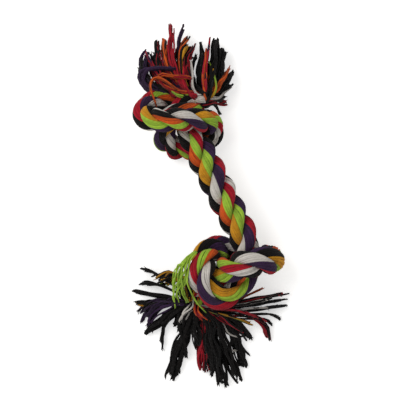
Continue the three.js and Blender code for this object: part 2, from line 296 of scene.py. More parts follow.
def make_dyed_cotton(dye, hex_colour, unevenness):
    """Two-ply cotton yarn of one dye, matt and slightly fuzzy."""
    material, tree = empty_material(f"dyed cotton yarn {dye}")
    yarn = add_node(tree, "ShaderNodeUVMap", uv_map="yarn").outputs["UV"]
    turns = add_node(
        tree, "ShaderNodeVectorMath", {0: yarn, 1: (PLIES, 1 / PLY_TWIST_LENGTH, 0)},
        operation="DOT_PRODUCT",
    ).outputs["Value"]
    ridge = reckon(tree, "SINE", reckon(tree, "MULTIPLY", turns, 2 * math.pi))
    fibres_place = add_node(
        tree, "ShaderNodeVectorMath",
        {0: yarn, 1: (FIBRES_ROUND, 1 / FIBRE_LENGTH, 0)}, operation="MULTIPLY",
    ).outputs["Vector"]
    fibres = add_node(
        tree, "ShaderNodeTexNoise", {"Vector": fibres_place, "Scale": 1.0, "Detail": 3.0}
    ).outputs["Fac"]
    patches = add_node(
        tree, "ShaderNodeTexNoise",
        {"Vector": add_node(tree, "ShaderNodeTexCoord").outputs["Object"],
         "Scale": 1 / (PATCH_SIZE * MM), "Detail": 2.0},
    ).outputs["Fac"]
    uneven = add_node(
        tree, "ShaderNodeMapRange",
        {"Value": reckon(tree, "ADD", fibres, patches),
         "From Min": MOTTLE_RANGE[0], "From Max": MOTTLE_RANGE[1],
         "To Min": 1 - unevenness, "To Max": 1 + unevenness},
    ).outputs["Result"]
    round_yarn = add_node(tree, "ShaderNodeSeparateXYZ", {"Vector": yarn}).outputs["X"]
    number = reckon(tree, "FLOOR", round_yarn)
    draw = add_node(
        tree, "ShaderNodeTexWhiteNoise", {"W": number}, noise_dimensions="1D"
    ).outputs["Value"]
    # Loose yarns reach a darker lowest tone: painted shade in among a tassel's yarns.
    loose = reckon(tree, "GREATER_THAN", number, LAST_LAID_NUMBER)
    darkest = reckon(
        tree, "MULTIPLY_ADD", loose, DARKEST_LOOSE_YARN_WITH_PAINTED_SHADE - DARKEST_YARN, DARKEST_YARN
    )
    tone = add_node(
        tree, "ShaderNodeMapRange",
        {"Value": draw, "To Min": darkest, "To Max": LIGHTEST_YARN},
    ).outputs["Result"]
    colour = add_node(
        tree, "ShaderNodeVectorMath",
        {0: linear(hex_colour)[:3], "Scale": reckon(tree, "MULTIPLY", uneven, tone)},
        operation="SCALE",
    ).outputs["Vector"]
    height = reckon(tree, "MULTIPLY_ADD", fibres, FIBRE_RELIEF_SHARE, ridge)
    relief = add_node(
        tree, "ShaderNodeBump", {"Height": height, "Strength": 0.5, "Distance": PLY_RELIEF * MM}
    ).outputs["Normal"]
    shader = add_node(
        tree, "ShaderNodeBsdfPrincipled",
        {"Base Color": colour, "Normal": relief, "Roughness": 0.92,
         "Specular IOR Level": 0.2, "Sheen Weight": 0.08, "Sheen Roughness": 0.5},
    )
    add_node(tree, "ShaderNodeOutputMaterial", {"Surface": shader.outputs["BSDF"]})
    return material


DYES = {
    "black": ("#0C0807", 0.35), "orange": ("#C9541A", 0.22), "lime": ("#9CBF3C", 0.20),
    "red": ("#A31325", 0.25), "amber": ("#C98D1E", 0.22), "purple": ("#351F40", 0.30),
    "white": ("#CDC7BF", 0.10),
}
cotton = {dye: make_dyed_cotton(dye, *recipe) for dye, recipe in DYES.items()}
print("yarn materials:", ", ".join(material.name for material in cotton.values()))

# %% [markdown]
# ## Yarns as tubes
# Every yarn is a thin closed tube along its own path. The tubes could be bevelled curves, but
# a mesh can hold thousands of them with a map and a material for each, and can bend at the
# joints. All yarns of one piece go into one mesh.

# %% Tubes from paths
LAID_YARN_SIDES = 7
CAPS_PER_YARN = 2
# A path that starts steeper than this takes its first direction from X, and not from up.
STEEPEST_START = 0.9


def tube_sections(paths):
    """Two directions across each path at each point, carried along it without twist."""
    along = np.gradient(paths, axis=1)
    along /= np.maximum(np.linalg.norm(along, axis=2), TINY)[..., None]
    steep = np.abs(along[:, 0, 2:]) >= STEEPEST_START
    across = np.empty_like(paths)
    direction = np.where(steep, [[1.0, 0, 0]], [[0, 0, 1.0]])
    for i in range(paths.shape[1]):
        direction = direction - along[:, i] * (direction * along[:, i]).sum(1)[:, None]
        direction /= np.maximum(np.linalg.norm(direction, axis=1), TINY)[:, None]
        across[:, i] = direction
    return across, np.cross(along, across)


def tube_corners(steps, round_count):
    """For each side face of a tube, the step along and the place around of its corners."""
    i, j = np.meshgrid(np.arange(steps - 1), np.arange(round_count), indexing="ij")
    rows = np.stack([i, i, i + 1, i + 1], axis=-1).reshape(-1, 4)
    around = np.stack([j, j + 1, j + 1, j], axis=-1).reshape(-1, 4)
    return rows, around


def colour_yarns(mesh, dyes, sides_per_yarn):
    """Gives each yarn its dye, with smooth sides and flat end caps."""
    used = [dye for dye in DYES if dye in dyes]
    for dye in used:
        mesh.materials.append(cotton[dye])
    slots = [used.index(dye) for dye in dyes]
    smooth = [True] * sides_per_yarn + [False] * CAPS_PER_YARN
    mesh.polygons.foreach_set("material_index", np.repeat(slots, len(smooth)))
    mesh.polygons.foreach_set("use_smooth", np.tile(smooth, len(dyes)))


def map_yarns(mesh, rows, around, round_count, travelled, first_number):
    """The map called yarn: how far round, with the yarn's number, and how far along."""
    side_corners, cap_corners = rows.size, CAPS_PER_YARN * round_count
    places = np.zeros((len(travelled), side_corners + cap_corners, 2), np.float32)
    places[:, :side_corners, 0] = around.ravel() / round_count
    places[:, :, 0] += first_number + np.arange(len(travelled))[:, None]
    places[:, :side_corners, 1] = travelled[:, rows.ravel()]
    mesh.uv_layers.new(name="yarn").data.foreach_set("uv", places.ravel())


def make_yarns(
    name, paths, radii, dyes, round_count=LAID_YARN_SIDES, first_number=0, part=slice(None)
):
    """One mesh of yarns, or of one part of their length. Paths are yarns by points by XYZ."""
    across, other = tube_sections(paths)
    steps_along = np.linalg.norm(np.diff(paths, axis=1), axis=2)
    travelled = np.pad(steps_along.cumsum(axis=1), ((0, 0), (1, 0)))
    paths, radii, across, other, travelled = (
        values[:, part] for values in (paths, radii, across, other, travelled)
    )
    count, steps, _ = paths.shape
    angles = np.arange(round_count) * 2 * math.pi / round_count
    ring = (
        across[:, :, None] * np.cos(angles)[:, None] + other[:, :, None] * np.sin(angles)[:, None]
    )
    points = paths[:, :, None] + ring * radii[:, :, None, None]
    rows, around = tube_corners(steps, round_count)
    quads = rows * round_count + around % round_count
    start_cap = np.arange(round_count)[::-1]
    end_cap = (steps - 1) * round_count + np.arange(round_count)
    faces, shift = [], steps * round_count
    for yarn in range(count):
        faces += (quads + yarn * shift).tolist()
        faces += [(start_cap + yarn * shift).tolist(), (end_cap + yarn * shift).tolist()]
    mesh = bpy.data.meshes.new(name)
    mesh.from_pydata((points.reshape(-1, 3) * MM).tolist(), [], faces)
    colour_yarns(mesh, dyes, len(quads))
    map_yarns(mesh, rows, around, round_count, travelled, first_number)
    mesh.update()
    return add_object(name, mesh)


# %% [markdown]
# ## Strands
# Three strands are laid together, right-handed, one turn every 40 mm. Inside each strand the
# yarns turn the other way by as much, so on the outside of the rope every yarn runs straight
# along the rope, and the colours show as slanting bands. Each strand holds four or five bundles
# of yarn, and black is one of them in all three. The crown is where the white strand lies on
# top of the free rope, in millimetres past the lower neck.

# %% Bundles of the strands
LAY_LENGTH = 40.0
WHITE_CROWN = 34.8
STRAND_BUNDLES = {
    "white": ("black", "white", "purple", "red"),
    "orange": ("black", "orange", "lime", "red", "white"),
    "lime": ("black", "amber", "lime", "purple"),
}
YARNS_PER_STRAND = 20
YARN_RADIUS = 0.74
STRAND_HALF_WIDTH = 4.55
STRAND_HALF_HEIGHT = 4.2
STRAND_OFFSET = ROPE_DIAMETER / 2 - STRAND_HALF_HEIGHT
print("strands:", ", ".join(STRAND_BUNDLES), "with", YARNS_PER_STRAND, "outer yarns each")

# %% [markdown]
# Tying the knots turned the rope about its own axis and let some strands roll, so inside the
# knots other strands and other colours come to the top than an even lay would bring. The lists
# below say by how many turns, at distances in millimetres past the lower neck. They are read
# off the photograph, band by band. The rope is fullest between the knots, and thinnest in the
# upper one, which is drawn tightest.

# %% Turns and thickness inside the knots
ROPE_TURNS = [
    (-220, 0.27), (-142, 0.27), (-79, 0.58), (-63, 0.46), (-38, 0.15), (-8, 0), (64, 0),
    (100, 0.04), (116, 0), (132, -0.03), (148, -0.13), (174, -0.13), (216, 0.14),
    (224, 0.20), (268, 0.20),
]
STRAND_TURNS = {
    "white": [(-157, 0.04), (-120, -0.4), (-103, -0.27), (-84, -0.2), (-72, -0.1),
              (-46, 0.1), (-8, 0), (75, -0.05), (117, -0.12), (160, 0), (185, -0.1),
              (200, -0.35), (225, -0.15)],
    "orange": [(-169, 0.26), (-120, 0), (-84, -0.3), (-64, -0.02), (-28, -0.2), (0, 0),
               (56, 0), (74, 0.2), (98, 0.68), (148, 0.68), (187, 1.3), (216, 1.2),
               (253, 0.75)],
    "lime": [(-160, 0), (-142, -0.28), (-115, -0.5), (-91, -0.72), (-60, -0.88),
             (-38, -0.94), (0, -1), (30, -1), (50, -0.92), (100, -0.6), (133, -0.32),
             (150, -0.05), (174, 0.07), (208, 0.07), (230, -0.25)],
}
ROPE_DIAMETERS = [
    (-219, 16), (-180, 17), (-155, 18.2), (-130, 17), (-60, 16.8), (-20, 16.2), (-5, 18),
    (12, 19.6), (55, 19.6), (68, 17), (78, 14.8), (204, 14.8),
]

# %% Smooth values along the rope
SMOOTHED_STATIONS = 15
past_neck = station_distances - lower_neck


def smoothed(row, width):
    """A row of values, each averaged with its neighbours."""
    kernel = np.hanning(width) / np.hanning(width).sum()
    return np.convolve(np.pad(row, width // 2, mode="edge"), kernel, mode="valid")


def smoothly(table):
    """A value for every station, smoothly between the distances of a list."""
    distances, values = np.array(table, float).T
    return smoothed(np.interp(past_neck, distances, values), SMOOTHED_STATIONS)


thinning = smoothly(ROPE_DIAMETERS) / ROPE_DIAMETER
rope_turns = smoothly(ROPE_TURNS)
print("thinnest rope in mm:", round(ROPE_DIAMETER * thinning.min(), 1))

# %% [markdown]
# No yarn lies quite evenly in its strand. Each drifts a little sideways, by a share of its
# width, and in and out. The drift is drawn at some spots along the rope and is smooth between
# them.

# %% Yarns of a strand
SIDEWAYS_DRIFT_SHARE, SIDEWAYS_SPOTS = 0.35, 20
DEPTH_DRIFT, DEPTH_SPOTS = 0.12, 36
DRIFT_STATIONS = 9


def wander(rng, count, spots):
    """Slow random drift for each yarn along the rope, of about plus or minus one."""
    values = rng.uniform(-1, 1, (count, spots))
    places = np.linspace(0, station_distances[-1], spots)
    drift = [np.interp(station_distances, places, row) for row in values]
    return np.stack([smoothed(row, DRIFT_STATIONS) for row in drift])


def strand_yarn_offsets(strand, rng):
    """Offsets of a strand's outer yarns from the middle of the rope, and their dyes."""
    bundles, count = STRAND_BUNDLES[strand], YARNS_PER_STRAND
    phase = 2 * math.pi * (
        (past_neck - WHITE_CROWN) / LAY_LENGTH + rope_turns
        + list(STRAND_BUNDLES).index(strand) / len(STRAND_BUNDLES)
    )
    laid_angle = -math.pi + 2 * math.pi * (np.arange(count) + 0.5) / count
    theta = laid_angle[:, None] - 2 * phase
    theta -= 2 * math.pi * smoothly(STRAND_TURNS[strand])
    theta += wander(rng, count, SIDEWAYS_SPOTS) * SIDEWAYS_DRIFT_SHARE * 2 * math.pi / count
    inset = YARN_RADIUS + wander(rng, count, DEPTH_SPOTS) * DEPTH_DRIFT
    radial = STRAND_OFFSET + (STRAND_HALF_HEIGHT - inset) * np.cos(theta)
    tangential = (STRAND_HALF_WIDTH - inset) * np.sin(theta)
    outward = ups * np.cos(phase)[:, None] + sides * np.sin(phase)[:, None]
    sideways = sides * np.cos(phase)[:, None] - ups * np.sin(phase)[:, None]
    offsets = radial[..., None] * outward + tangential[..., None] * sideways
    dyes = [bundles[i * len(bundles) // count] for i in range(count)]
    return offsets * thinning[:, None], dyes


# %% [markdown]
# Where the rope bends hard or lies against itself it is squeezed out of round. A yarn on the
# inside of a bend can't reach past a share of the bend's radius, and a yarn between two turns
# of the knot stops short of halfway between them. The surface below does the same to the
# lowest turns. Two places are on different turns when they lie far apart along the rope.

# %% Squeeze the rope where it touches itself
BEND_LIMIT_SHARE = 0.72
TURN_SPAN = 1.4 * ROPE_DIAMETER
TOUCH_DISTANCE = 1.2 * ROPE_DIAMETER
TOUCH_MARGIN = 0.35
SMOOTHING_WEIGHTS = np.array([1, 2, 3, 2, 1]) / 9


def squeeze(offsets):
    """Yarn paths from their offsets, kept out of tight bends, other turns and the floor."""
    bend = np.gradient(tangents, axis=0) / RING_SPACING
    tightness = np.linalg.norm(bend, axis=1)
    inward = bend / np.maximum(tightness, TINY)[:, None]
    allowed = BEND_LIMIT_SHARE / np.maximum(tightness, TINY)
    reach_in = (offsets * inward).sum(2)
    offsets = offsets - np.maximum(reach_in - allowed, 0)[..., None] * inward
    paths = centres + offsets
    far_along = np.abs(station_distances[:, None] - station_distances) > TURN_SPAN
    for i in range(len(centres)):
        away = np.linalg.norm(centres - centres[i], axis=1)
        others = np.flatnonzero(far_along[i] & (away < TOUCH_DISTANCE))
        if len(others):
            gaps = np.linalg.norm(paths[:, i, None] - centres[others], axis=2)
            nearest = centres[others[gaps.argmin(axis=1)]]
            toward = nearest - centres[i]
            apart = np.linalg.norm(toward, axis=1)
            toward /= apart[:, None]
            over = ((paths[:, i] - centres[i]) * toward).sum(1) - (apart / 2 - TOUCH_MARGIN)
            paths[:, i] -= np.maximum(over, 0)[:, None] * toward
    paths[..., 2] = np.maximum(paths[..., 2], YARN_RADIUS)
    margin = len(SMOOTHING_WEIGHTS) // 2
    padded = np.pad(paths, ((0, 0), (margin, margin), (0, 0)), mode="edge")
    return sum(
        weight * padded[:, k:k + paths.shape[1]] for k, weight in enumerate(SMOOTHING_WEIGHTS)
    )


SEED = 7
random = np.random.default_rng(SEED)
strand_paths, strand_dyes = {}, {}
for strand in STRAND_BUNDLES:
    offsets, strand_dyes[strand] = strand_yarn_offsets(strand, random)
    strand_paths[strand] = squeeze(offsets)
print("yarns laid in the rope:", sum(len(dyes) for dyes in strand_dyes.values()))

# %% [markdown]
# The rope flexes at three places between its knots, so each strand is made in three lengths.
# Each length crosses one of those joints. They meet where the rope moves as one, so that no
# gap opens between them, and there the end of each runs one ring on inside the next. A row says
# where a length starts and ends, the two bodies of its joint and the shares of the free rope
# that a bend between them would span, and which solids it stands for.

# %% Lengths of the strands
CUT_SHARES = (0.3, 0.7)
TUCKED_SHARE = 0.85


def station_at(share):
    """Number of the station at a share of the free rope's length."""
    distance = lower_neck + (upper_neck - lower_neck) * share
    return int(np.argmin(np.abs(station_distances - distance)))


first_cut, second_cut = (station_at(share) for share in CUT_SHARES)
last_station = len(centres) - 1
LENGTHS = {
    "lower_knot": (
        0, first_cut, ("lower_knot", "lower_rope"), (0.0, 0.3), ("lower_knot", "lower_rope")
    ),
    "free_rope": (
        first_cut, second_cut, ("lower_rope", "upper_rope"), (0.32, 0.68),
        ("lower_rope", "upper_rope"),
    ),
    "upper_knot": (
        second_cut, last_station, ("upper_rope", "upper_knot"), (0.7, 1.0), ("upper_knot",)
    ),
}
print("stations of the cuts:", first_cut, second_cut, "of", last_station)

# %% Lay the strands
strand_pieces = {}
for length_name, (first, last, bodies, (bend_from, bend_to), replaced) in LENGTHS.items():
    for number, strand in enumerate(STRAND_BUNDLES, start=1):
        paths = strand_paths[strand]
        radii = np.tile(YARN_RADIUS * thinning, (len(paths), 1))
        radii[:, :first] *= TUCKED_SHARE
        radii[:, last + 1:] *= TUCKED_SHARE
        piece = make_yarns(
            f"{length_name}_{strand}_strand", paths, radii, strand_dyes[strand],
            part=slice(max(first - 1, 0), last + 2),
        )
        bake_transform(piece)
        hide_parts(*(f"{group}_strand_{number}" for group in replaced))
        strand_pieces[length_name, strand] = piece
print("strand lengths:", len(strand_pieces))

# %% [markdown]
# ## Tassels
# Past its knots the rope is unlaid, and its yarns hang as they fall: in locks of one dye or of
# a few dyes in turn. A lock starts inside the rope's end, turns out of it and runs through a
# few given points to its tip. A row holds the dyes, the number of yarns, how far they
# spread and those points, as X, Y and height in millimetres.

# %% Places of the locks
LOWER_LOCKS = [
    ("black", 59, 3.8,
     ((-15.7, -52.7, 8), (-26.5, -46.1, 7), (-35.5, -40.1, 4), (-40.9, -39.5, 2))),
    ("black", 34, 3.1,
     ((-16.9, -55.1, 8), (-26.5, -50.3, 6), (-35.5, -47.9, 4), (-42.1, -49.1, 2))),
    ("amber black black", 59, 6.2,
     ((-15.1, -45.5, 12), (-19.9, -42.5, 11), (-25.9, -43.7, 8), (-31.9, -47.9, 4))),
    ("lime amber", 12, 3,
     ((-13.9, -49.1, 11), (-20.5, -44.9, 9), (-25.9, -47.3, 6), (-29.5, -51.5, 3))),
    ("black", 50, 4.4,
     ((-18.7, -57.5, 7), (-29.5, -55.7, 5), (-37.9, -53.9, 3), (-46.3, -53.0, 1.5))),
    ("black black black amber", 50, 4.4,
     ((-18.7, -59.3, 6), (-29.5, -59.9, 4), (-37.9, -60.5, 3), (-45.1, -60.5, 1.5))),
    ("purple", 52, 5.6,
     ((-18.7, -57.5, 8), (-27.1, -60.5, 7), (-34.3, -65.3, 5), (-39.1, -73.1, 2))),
    ("black purple", 59, 5,
     ((-18.7, -59.9, 9), (-25.9, -59.3, 8), (-34.3, -61.7, 6), (-41.5, -67.1, 3))),
    ("black", 34, 2.5,
     ((-19.9, -63.5, 5), (-27.1, -68.3, 4), (-34.3, -74.3, 3), (-39.1, -79.1, 1.5))),
    ("black", 15, 1,
     ((-18.7, -64.7, 5), (-25.9, -70.7, 3), (-28.3, -77.9, 2), (-29.5, -88.7, 1.5))),
    ("black", 42, 4.4,
     ((-17.5, -63.5, 6), (-23.5, -67.1, 5), (-27.7, -70.7, 4), (-31.9, -73.1, 3))),
    ("black", 24, 1.5,
     ((-17.5, -61.1, 9), (-18.7, -68.3, 8), (-16.3, -79.1, 7), (-13.9, -93.5, 4))),
    ("black", 54, 3.5,
     ((-11.5, -65.9, 8), (-15.1, -78.5, 5), (-21.1, -92.3, 3), (-24.1, -106.7, 1.5))),
    ("black", 30, 2,
     ((-10.9, -67.1, 7), (-13.3, -80.3, 5), (-17.5, -93.5, 3), (-19.3, -105.5, 1.5))),
    ("white black", 15, 2.5,
     ((-11.5, -62.3, 12), (-15.1, -65.9, 11), (-16.3, -69.5, 9), (-18.7, -73.1, 6))),
    ("black", 48, 4, ((-7.9, -67.1, 9), (-7.9, -74.3, 8), (-6.7, -81.5, 6), (-5.5, -88.7, 4))),
    ("red", 32, 3, ((-6.1, -70.7, 7), (-6.1, -81.5, 6), (-6.1, -91.1, 4), (-6.1, -101.3, 2))),
    ("red black", 18, 2.5,
     ((-4.9, -69.5, 8), (-3.1, -81.5, 6), (-2.5, -92.3, 4), (-2.5, -103.1, 1.5))),
    ("black", 78, 5, ((-0.7, -68.3, 9), (1.7, -81.5, 7), (5.3, -95.9, 4), (8.9, -111.5, 1.5))),
    ("black", 60, 4.5, ((2.9, -68.3, 9), (7.7, -82.7, 6), (13.1, -95.9, 4), (17.9, -109.1, 1.5))),
    ("black", 36, 3, ((-3.1, -68.3, 8), (-0.7, -82.7, 6), (1.1, -94.7, 4), (2.3, -105.5, 1.5))),
    ("black", 42, 3.5, ((8.9, -69.5, 8), (14.9, -79.1, 5), (18.5, -88.7, 3), (20.9, -100.7, 1.5))),
    ("black red", 42, 5, ((1.7, -65.9, 12), (7.7, -70.7, 11), (13.7, -74.3, 9), (18.5, -79.1, 6))),
    ("red orange", 21, 3,
     ((-7.9, -64.7, 13), (-4.3, -68.3, 12), (-0.7, -70.7, 11), (2.9, -74.3, 9))),
    ("white", 7, 1.5, ((-1.9, -61.1, 13), (2.9, -63.5, 13), (5.9, -65.9, 11), (7.7, -69.5, 8))),
    ("white", 7, 0.8, ((1.7, -68.3, 10), (8.9, -82.7, 7), (14.9, -88.7, 5), (20.9, -88.1, 3))),
    ("white black", 12, 1.5,
     ((5.3, -69.5, 9), (13.7, -79.1, 7), (19.7, -80.3, 5), (25.7, -78.5, 3))),
    ("black", 36, 4, ((11.3, -67.1, 8), (19.7, -73.1, 6), (23.3, -79.1, 4), (25.1, -85.1, 2))),
    ("red black", 48, 5,
     ((7.7, -63.5, 13), (17.3, -64.1, 13), (24.5, -66.5, 11), (31.7, -70.7, 7))),
    ("amber lime black", 18, 3,
     ((6.5, -65.9, 14), (16.1, -68.3, 13), (22.1, -70.7, 11), (26.9, -73.1, 7))),
    ("black black red", 59, 3.8,
     ((11.3, -61.1, 9), (24.5, -57.5, 8), (36.5, -55.7, 5), (47.9, -53.6, 2.5))),
    ("black", 42, 2.5, ((11.3, -62.3, 8), (25.7, -61.1, 7), (37.7, -58.7, 5), (47.9, -56.9, 2.5))),
    ("white black", 50, 4.4,
     ((11.3, -61.7, 12), (22.1, -60.5, 11), (30.5, -58.7, 8), (38.3, -56.9, 5))),
    ("white black", 21, 3.1,
     ((12.5, -63.5, 11), (23.3, -62.9, 10), (30.5, -62.3, 8), (36.5, -62.3, 5))),
    ("black", 50, 3.1, ((11.3, -64.7, 8), (25.7, -64.1, 6), (37.7, -62.3, 4), (47.9, -61.1, 2))),
    ("black", 42, 3.1, ((12.5, -65.9, 7), (28.1, -66.5, 5), (40.1, -67.1, 3), (44.9, -73.1, 1.5))),
    ("black red", 34, 2.5,
     ((12.5, -67.1, 8), (25.7, -68.3, 6), (33.5, -73.1, 4), (36.5, -82.7, 1.5))),
    ("black", 25, 1.9, ((12.5, -68.3, 7), (26.9, -69.5, 5), (35.3, -69.5, 3), (38.9, -74.3, 1.5))),
    ("black", 6, 0.5,
     ((11.3, -75.5, 4), (18.5, -83.9, 2), (23.3, -89.9, 1.5), (27.5, -93.5, 1.5))),
    ("orange", 6, 1.9, ((8.9, -57.5, 12), (20.9, -57.5, 11), (28.1, -53.3, 9), (32.9, -50.3, 7))),
    ("black", 48, 5, ((-13.9, -62.3, 6), (-16.3, -67.1, 5), (-17.5, -71.9, 4), (-19.9, -76.7, 3))),
    ("black", 42, 4, ((7.7, -67.1, 6), (12.5, -74.3, 4), (16.1, -82.7, 3), (13.7, -88.7, 2))),
]
UPPER_LOCKS = [
    ("black", 30, 3, ((-1.3, 63.7, 27), (-3.7, 66.7, 25), (-7.9, 70.9, 22), (-9.1, 76.9, 17))),
    ("black", 30, 3, ((-0.7, 63.7, 26), (0.5, 67.3, 24), (2.3, 72.1, 20), (4.1, 78.1, 15))),
    ("black red", 48, 5,
     ((-11.5, 66.1, 14), (-24.7, 68.5, 13), (-33.1, 73.3, 12), (-35.5, 80.5, 10),
      (-35.5, 86.5, 8))),
    ("black", 48, 5,
     ((-10.3, 66.1, 13), (-19.9, 69.1, 12), (-28.3, 74.5, 11), (-30.7, 82.9, 9), (-34.3, 90.1, 7))),
    ("black red purple", 42, 5,
     ((-11.5, 66.1, 17), (-22.3, 70.9, 17), (-27.1, 76.9, 15), (-29.5, 82.9, 12),
      (-27.7, 90.1, 9))),
    ("black red", 36, 4,
     ((-7.9, 66.1, 16), (-16.3, 72.1, 16), (-21.1, 79.3, 13), (-22.3, 86.5, 10), (-19.9, 92.5, 8))),
    ("black", 36, 4,
     ((-6.7, 66.1, 14), (-10.3, 73.3, 13), (-13.9, 81.7, 11), (-13.9, 88.9, 9), (-11.5, 94.9, 7))),
    ("black", 24, 3,
     ((-15.1, 65.5, 22), (-25.9, 67.3, 20), (-34.3, 72.1, 16), (-40.3, 80.5, 12),
      (-40.3, 87.7, 9))),
    ("black purple", 42, 4,
     ((-19.9, 66.7, 16), (-35.5, 69.7, 14), (-39.7, 76.9, 12), (-39.1, 86.5, 9), (-37.3, 92.5, 7))),
    ("black", 36, 3.5,
     ((-18.7, 66.7, 14), (-32.5, 68.5, 12), (-37.9, 73.3, 10), (-40.9, 80.5, 8), (-37.9, 85.3, 6))),
    ("red purple", 12, 2,
     ((-17.5, 67.3, 22), (-29.5, 75.7, 18), (-35.5, 84.1, 14), (-40.3, 94.3, 10))),
    ("black red", 42, 4,
     ((-16.3, 67.3, 18), (-26.5, 72.1, 16), (-30.7, 81.7, 14), (-31.3, 90.1, 10),
      (-31.3, 98.5, 7))),
    ("black orange", 30, 3,
     ((-15.1, 67.3, 20), (-22.3, 76.9, 18), (-26.5, 88.9, 14), (-25.9, 102.1, 9))),
    ("red", 28, 2.5,
     ((-13.9, 67.3, 24), (-19.9, 78.1, 22), (-22.9, 91.3, 18), (-21.7, 109.3, 10))),
    ("black", 48, 5, ((-13.3, 67.3, 16), (-19.9, 78.1, 14), (-23.5, 87.7, 12), (-25.9, 94.9, 8))),
    ("black purple", 12, 1.2,
     ((-11.5, 67.3, 20), (-16.3, 82.9, 16), (-18.7, 94.9, 12), (-15.1, 109.9, 7))),
    ("black", 48, 4.5,
     ((-11.5, 67.3, 16), (-14.5, 79.3, 14), (-16.3, 88.9, 11), (-13.9, 98.5, 7))),
    ("orange black amber", 18, 2,
     ((-11.5, 67.3, 22), (-17.5, 80.5, 20), (-16.3, 91.3, 16), (-11.5, 100.3, 10))),
    ("red black", 24, 3,
     ((-9.7, 67.3, 22), (-12.7, 79.3, 18), (-12.7, 88.9, 14), (-8.5, 97.3, 8))),
    ("black", 18, 2.5, ((-9.1, 67.3, 16), (-11.5, 78.1, 14), (-10.3, 85.3, 10), (-7.3, 90.7, 6))),
    ("red", 32, 3.5, ((-11.5, 64.9, 26), (-15.1, 72.1, 24), (-15.1, 80.5, 20), (-13.3, 87.7, 15))),
    ("red black", 36, 4.5,
     ((-17.5, 65.5, 24), (-25.9, 70.9, 22), (-29.5, 76.9, 18), (-30.7, 82.9, 12))),
    ("black", 24, 3, ((-15.1, 64.3, 26), (-22.3, 68.5, 24), (-24.7, 74.5, 20), (-25.9, 79.3, 16))),
    ("lime", 7, 1, ((-17.5, 63.7, 27), (-21.7, 67.3, 26), (-23.5, 70.3, 24), (-24.7, 73.3, 21))),
    ("purple", 21, 2,
     ((-19.9, 67.3, 18), (-36.7, 68.5, 16), (-41.5, 76.9, 16), (-35.5, 81.1, 20),
      (-18.7, 80.5, 22))),
    ("orange red", 12, 1.5,
     ((-13.9, 67.3, 26), (-29.5, 72.1, 24), (-30.7, 78.1, 24), (-19.9, 76.9, 26),
      (-7.9, 73.9, 24))),
    ("orange", 7, 1, ((-17.5, 67.3, 28), (-30.7, 75.7, 28), (-34.9, 69.7, 28), (-31.3, 58.9, 28))),
    ("white", 9, 1.2, ((-7.3, 64.9, 26), (-10.3, 72.1, 24), (-9.7, 80.5, 20), (-11.5, 86.5, 15))),
    ("black black black orange", 60, 4,
     ((-1.9, 66.1, 15), (-1.9, 72.1, 14), (0.5, 79.3, 12), (2.9, 86.5, 9))),
    ("black", 78, 5, ((-0.7, 67.3, 18), (1.7, 76.9, 16), (4.1, 87.7, 12), (5.3, 99.7, 7))),
    ("black", 36, 3, ((0.5, 66.1, 16), (5.3, 74.5, 13), (7.7, 85.3, 10), (8.9, 96.1, 6))),
    ("black", 42, 3.5, ((-4.3, 67.3, 16), (-5.5, 75.7, 14), (-4.3, 84.1, 11), (-3.7, 93.7, 7))),
    ("black", 15, 1.5, ((-3.7, 67.3, 14), (-6.7, 76.9, 12), (-4.3, 88.9, 9), (-5.5, 99.1, 6))),
    ("orange red", 14, 2,
     ((-3.1, 67.3, 24), (-4.3, 75.7, 21), (-2.5, 85.3, 17), (-1.3, 93.7, 12))),
    ("red purple", 9, 1, ((-1.9, 67.3, 26), (-1.9, 76.9, 22), (-0.7, 88.9, 17), (1.1, 102.1, 9))),
    ("orange", 9, 1, ((-2.5, 63.7, 26), (-3.1, 69.7, 24), (-1.9, 75.7, 21), (-2.5, 81.7, 18))),
    ("amber lime black", 18, 3,
     ((-0.1, 66.1, 22), (2.9, 72.1, 20), (2.3, 79.3, 17), (0.5, 84.1, 14))),
    ("orange", 16, 2.5, ((1.7, 66.1, 24), (5.3, 69.7, 21), (10.1, 76.9, 16), (13.7, 83.5, 11))),
    ("black", 36, 3, ((1.7, 65.5, 16), (7.7, 70.9, 13), (12.5, 76.9, 9), (15.5, 80.5, 6))),
    ("black", 24, 3, ((2.3, 64.3, 14), (7.7, 67.3, 10), (11.9, 70.9, 7), (14.3, 72.7, 5))),
    ("white", 5, 1, ((1.7, 63.7, 22), (6.5, 64.9, 16), (11.3, 68.5, 10), (14.9, 73.3, 6))),
    ("black", 21, 2, ((1.7, 62.5, 16), (5.3, 63.1, 11), (7.7, 63.7, 7), (10.1, 63.1, 4))),
    ("red black", 15, 1.6, ((0.5, 61.3, 20), (4.7, 61.3, 14), (8.9, 61.3, 9), (11.9, 61.0, 6))),
    ("black", 18, 1.6, ((-0.1, 60.1, 18), (3.5, 58.3, 12), (5.9, 55.9, 7), (8.3, 53.5, 4))),
]

print("locks:", len(LOWER_LOCKS), "below and", len(UPPER_LOCKS), "above")

# %% [markdown]
# One lime bundle of the lower knot has slipped out of its strand and hangs over the left side
# of the knot. It is placed in the same way, but it starts on the knot.

# %% Places of the slipped bundle
DRAPE_LOCKS = [
    ("lime", 5, 1.2,
     ((-7.9, -27.5, 35), (-13.3, -31.7, 34), (-18.7, -38.3, 30), (-21.1, -48.5, 22),
      (-20.5, -63.5, 10))),
    ("lime", 5, 1.5,
     ((-7.9, -27.5, 36), (-12.7, -32.3, 35), (-16.9, -40.7, 31), (-18.7, -51.5, 22),
      (-19.3, -59.3, 12))),
    ("lime", 6, 1.5,
     ((-7.9, -27.5, 36), (-12.1, -32.9, 35), (-15.1, -41.3, 33), (-15.7, -50.9, 25),
      (-13.3, -59.3, 14))),
    ("lime", 3, 1,
     ((-7.3, -28.1, 36), (-11.5, -33.5, 36), (-13.3, -42.5, 34), (-10.3, -53.9, 28),
      (-1.3, -65.9, 14))),
    ("lime", 3, 0.8,
     ((-7.9, -27.5, 36), (-12.7, -31.7, 35), (-16.3, -38.3, 31), (-16.9, -48.5, 24),
      (-15.1, -55.1, 17))),
]

